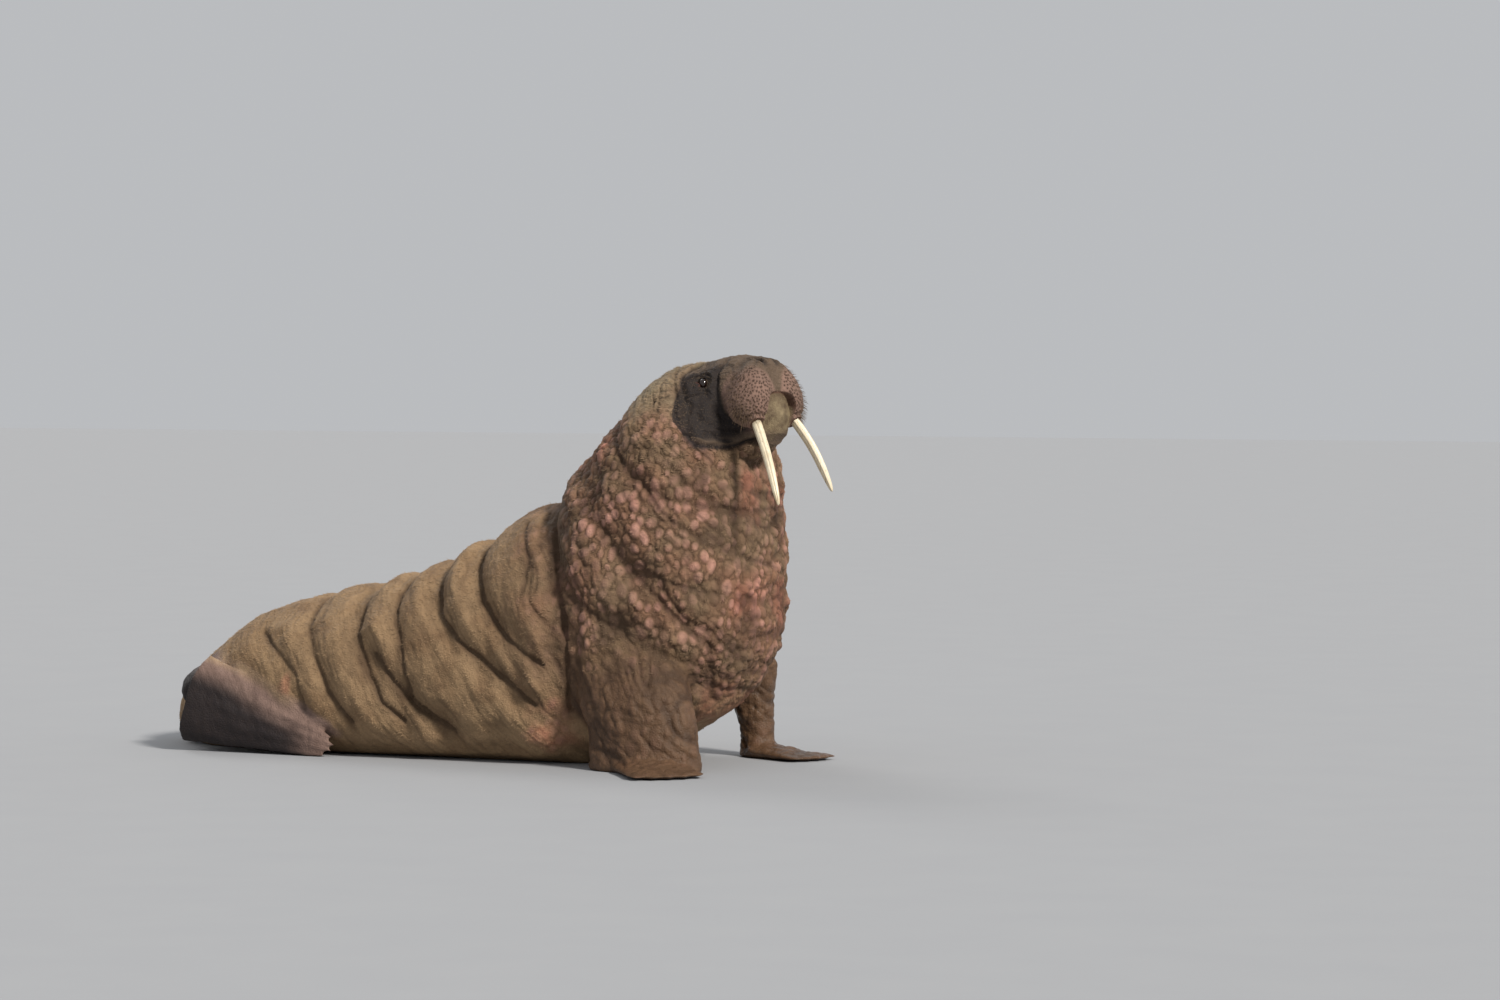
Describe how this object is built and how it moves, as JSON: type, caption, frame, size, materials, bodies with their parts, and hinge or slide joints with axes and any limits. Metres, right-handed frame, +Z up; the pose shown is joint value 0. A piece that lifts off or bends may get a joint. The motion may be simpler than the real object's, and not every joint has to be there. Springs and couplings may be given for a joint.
{
  "type": "walrus model",
  "caption": "Life-size still model of a bull walrus that sits up on its fore flippers, with tusks, whiskered pads and folded hind flippers.",
  "frame": {"origin": "middle of the bounding box's underside, on the floor", "axes": "+X the way the body faces, +Y the animal's left, +Z up"},
  "size_m": [2.9316, 1.296, 1.5467],
  "materials": {
    "hide": "dry brown hide with very short fur and deep folds",
    "neck_hide": "thick creased hide with pinkish bosses",
    "face": "grey-brown short-furred hide",
    "pad": "pinkish brown hide with rows of dark whisker pits",
    "ivory": "polished ivory with fine long grooves",
    "eye": "wet dark eye",
    "fore_hide": "dark brown bare hide, glossy where wet",
    "hind_hide": "mauve-grey bare hide"
  },
  "bodies": {
    "root": {"rump": "hide", "abdomen": "hide", "torso": "hide", "chest": "hide", "tail": "hide", "neck": "neck_hide", "head": "face", "lower_jaw": "face", "muzzle_pad_left": "pad", "muzzle_pad_right": "pad", "tusk_left": "ivory", "tusk_right": "ivory", "eye_left": "eye", "eye_right": "eye", "fore_flipper_left": "fore_hide", "fore_flipper_right": "fore_hide", "hind_flipper_left": "hind_hide", "hind_flipper_right": "hind_hide"}
  },
  "joints": []
}
